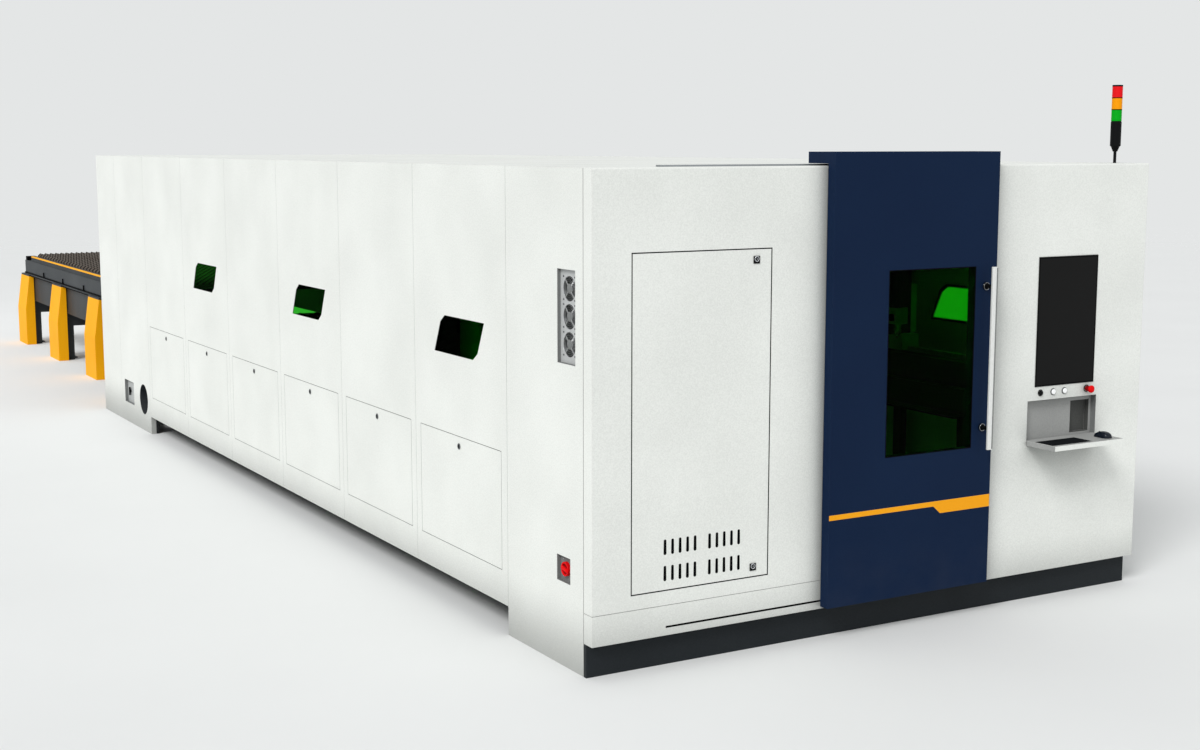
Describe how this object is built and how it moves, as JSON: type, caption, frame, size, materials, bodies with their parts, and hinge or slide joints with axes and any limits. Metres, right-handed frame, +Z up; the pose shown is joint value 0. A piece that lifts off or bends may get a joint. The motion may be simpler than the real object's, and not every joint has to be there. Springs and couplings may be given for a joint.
{
  "type": "fiber laser cutting machine",
  "caption": "Enclosed sheet-metal laser cutting machine with sliding door, console, gantry, scrap flaps and a two-pallet exchange table.",
  "frame": {"origin": "on the floor, in the middle of the enclosure's width, at the front plane of its side panels, where the plinth rests", "axes": "+Z up; -Y towards the operator at the front door, +Y along the machine to the exchange table; +X to the operator's right"},
  "size_m": [3.4323, 15.0605, 2.712],
  "materials": {
    "white_paint": "fine textured powder coat, satin",
    "navy_paint": "powder coat, satin",
    "charcoal_paint": "powder coat, matt",
    "grey_paint": "paint, satin",
    "orange_paint": "paint, satin",
    "steel": "ground and brushed",
    "slat_steel": "bare mill steel, heat-marked",
    "handle_metal": "anodised, satin",
    "lock_metal": "satin chrome",
    "fan_metal": "zinc-plated sheet",
    "black_plastic": "moulded, matt",
    "screen_plastic": "dark screen glass in a slim frame",
    "white_plastic": "moulded, gloss",
    "red_plastic": "moulded, gloss",
    "blue_plastic": "moulded, satin",
    "keyboard_plastic": "moulded, matt",
    "green_lens": "tinted lens, ribbed inside",
    "amber_lens": "tinted lens, ribbed inside",
    "red_lens": "tinted lens, ribbed inside",
    "laser_glass": "dark green laser-safe acrylic",
    "switchgear_grey": "mounting plate and device housings"
  },
  "bodies": {
    "machine": {"plinth": "charcoal_paint", "front_left_panel": "white_paint", "front_lower_panel": "white_paint", "front_right_panel": "white_paint", "doorway_frame": "white_paint", "cabinet_walls": "white_paint", "switchgear": "switchgear_grey", "door_track": "steel", "monitor": "screen_plastic", "beacon_base": "black_plastic", "beacon_green": "green_lens", "beacon_amber": "amber_lens", "beacon_red": "red_lens", "left_side_panels": "white_paint", "left_front_panel": "white_paint", "left_rear_panels": "white_paint", "right_side_panels": "white_paint", "side_windows": "laser_glass", "roof_panels": "white_paint", "rear_wall": "white_paint", "side_frames": "grey_paint", "fan_plate": "fan_metal", "machine_bed": "grey_paint", "bed_tracks": "grey_paint", "linear_rails": "steel", "table_rails": "grey_paint", "table_legs": "orange_paint", "table_frame": "grey_paint"},
    "sliding_door": {"door_panel": "navy_paint", "door_window": "laser_glass", "door_handle": "handle_metal", "door_hangers": "charcoal_paint"},
    "cabinet_door_leaf": {"cabinet_door": "white_paint"},
    "lower_lock": {"cabinet_lock_lower": "lock_metal"},
    "upper_lock": {"cabinet_lock_upper": "lock_metal"},
    "black_push": {"black_button": "black_plastic"},
    "left_white_push": {"white_button_left": "white_plastic"},
    "right_white_push": {"white_button_right": "white_plastic"},
    "stop_push": {"emergency_stop": "red_plastic"},
    "tray": {"keyboard_tray": "white_paint", "keyboard": "keyboard_plastic", "mouse": "blue_plastic"},
    "switch_knob": {"main_switch": "red_plastic"},
    "isolator_knob": {"rear_isolator": "black_plastic"},
    "gantry": {"gantry_beam": "white_paint"},
    "carriage": {"cutting_carriage": "charcoal_paint"},
    "head": {"cutting_head": "handle_metal"},
    "table_pallet": {"upper_pallet": "charcoal_paint", "pallet_edge_bars": "orange_paint", "upper_slats": "slat_steel"},
    "bed_pallet": {"lower_pallet": "slat_steel"},
    "flap_1": {"scrap_flap_1": "white_paint"},
    "flap_2": {"scrap_flap_2": "white_paint"},
    "flap_3": {"scrap_flap_3": "white_paint"},
    "flap_4": {"scrap_flap_4": "white_paint"},
    "flap_5": {"scrap_flap_5": "white_paint"},
    "flap_6": {"scrap_flap_6": "white_paint"},
    "fan_1": {"fan_rotor_1": "black_plastic"},
    "fan_2": {"fan_rotor_2": "black_plastic"},
    "fan_3": {"fan_rotor_3": "black_plastic"}
  },
  "joints": [
    {"name": "door_slide", "type": "slide", "parent": "machine", "child": "sliding_door", "axis": [-1, 0, 0], "range_m": [0, 0.88]},
    {"name": "cabinet_door_hinge", "type": "hinge", "parent": "machine", "child": "cabinet_door_leaf", "pos_m": [-1.492, -0.0665, 1.1465], "axis": [0, 0, -1], "range_deg": [0, 110]},
    {"name": "lower_lock_turn", "type": "hinge", "parent": "cabinet_door_leaf", "child": "lower_lock", "pos_m": [-0.837, -0.0745, 0.418], "axis": [0, 1, 0], "range_deg": [0, 90]},
    {"name": "upper_lock_turn", "type": "hinge", "parent": "cabinet_door_leaf", "child": "upper_lock", "pos_m": [-0.837, -0.0745, 1.872], "axis": [0, 1, 0], "range_deg": [0, 90]},
    {"name": "flap_1_hinge", "type": "hinge", "parent": "machine", "child": "flap_1", "pos_m": [-1.705, 1.306, 0.33], "axis": [0, -1, 0], "range_deg": [0, 90]},
    {"name": "flap_2_hinge", "type": "hinge", "parent": "machine", "child": "flap_2", "pos_m": [-1.705, 2.404, 0.33], "axis": [0, -1, 0], "range_deg": [0, 90]},
    {"name": "flap_3_hinge", "type": "hinge", "parent": "machine", "child": "flap_3", "pos_m": [-1.705, 3.502, 0.33], "axis": [0, -1, 0], "range_deg": [0, 90]},
    {"name": "flap_4_hinge", "type": "hinge", "parent": "machine", "child": "flap_4", "pos_m": [-1.705, 4.6, 0.33], "axis": [0, -1, 0], "range_deg": [0, 90]},
    {"name": "flap_5_hinge", "type": "hinge", "parent": "machine", "child": "flap_5", "pos_m": [-1.705, 5.698, 0.33], "axis": [0, -1, 0], "range_deg": [0, 90]},
    {"name": "flap_6_hinge", "type": "hinge", "parent": "machine", "child": "flap_6", "pos_m": [-1.705, 6.796, 0.33], "axis": [0, -1, 0], "range_deg": [0, 90]},
    {"name": "fan_1_spin", "type": "hinge", "parent": "machine", "child": "fan_1", "pos_m": [-1.68, 0.1575, 1.5045], "axis": [1, 0, 0], "continuous": true},
    {"name": "fan_2_spin", "type": "hinge", "parent": "machine", "child": "fan_2", "pos_m": [-1.68, 0.1575, 1.631], "axis": [1, 0, 0], "continuous": true},
    {"name": "fan_3_spin", "type": "hinge", "parent": "machine", "child": "fan_3", "pos_m": [-1.68, 0.1575, 1.7575], "axis": [1, 0, 0], "continuous": true},
    {"name": "black_button_press", "type": "slide", "parent": "machine", "child": "black_push", "axis": [0, 1, 0], "range_m": [0, 0.004], "stiffness_N_per_m": 600, "springref_m": -0.001},
    {"name": "left_white_button_press", "type": "slide", "parent": "machine", "child": "left_white_push", "axis": [0, 1, 0], "range_m": [0, 0.004], "stiffness_N_per_m": 600, "springref_m": -0.001},
    {"name": "right_white_button_press", "type": "slide", "parent": "machine", "child": "right_white_push", "axis": [0, 1, 0], "range_m": [0, 0.004], "stiffness_N_per_m": 600, "springref_m": -0.001},
    {"name": "emergency_stop_press", "type": "slide", "parent": "machine", "child": "stop_push", "axis": [0, 1, 0], "range_m": [0, 0.006]},
    {"name": "tray_fold", "type": "hinge", "parent": "machine", "child": "tray", "pos_m": [1.142, -0.0615, 0.855], "axis": [-1, 0, 0], "range_deg": [0, 90]},
    {"name": "main_switch_turn", "type": "hinge", "parent": "machine", "child": "switch_knob", "pos_m": [-1.693, 0.1885, 0.461], "axis": [1, 0, 0], "range_deg": [0, 90]},
    {"name": "rear_isolator_turn", "type": "hinge", "parent": "machine", "child": "isolator_knob", "pos_m": [-1.685, 8.08, 0.2685], "axis": [1, 0, 0], "range_deg": [0, 90]},
    {"name": "gantry_travel", "type": "slide", "parent": "machine", "child": "gantry", "axis": [0, 1, 0], "range_m": [-0.4, 6.2]},
    {"name": "carriage_travel", "type": "slide", "parent": "gantry", "child": "carriage", "axis": [-1, 0, 0], "range_m": [0, 2.43]},
    {"name": "head_travel", "type": "slide", "parent": "carriage", "child": "head", "axis": [0, 0, -1], "range_m": [0, 0.125]},
    {"name": "pallet_exchange", "type": "slide", "parent": "machine", "child": "table_pallet", "axis": [0, -1, 0], "range_m": [0, 6.8]},
    {"name": "bed_pallet_travel", "type": "slide", "parent": "machine", "child": "bed_pallet", "axis": [0, 1, 0], "range_m": [0, 6.8]}
  ],
  "couplings": [
    {"joint": "bed_pallet_travel", "follows": "pallet_exchange", "ratio": 1}
  ]
}
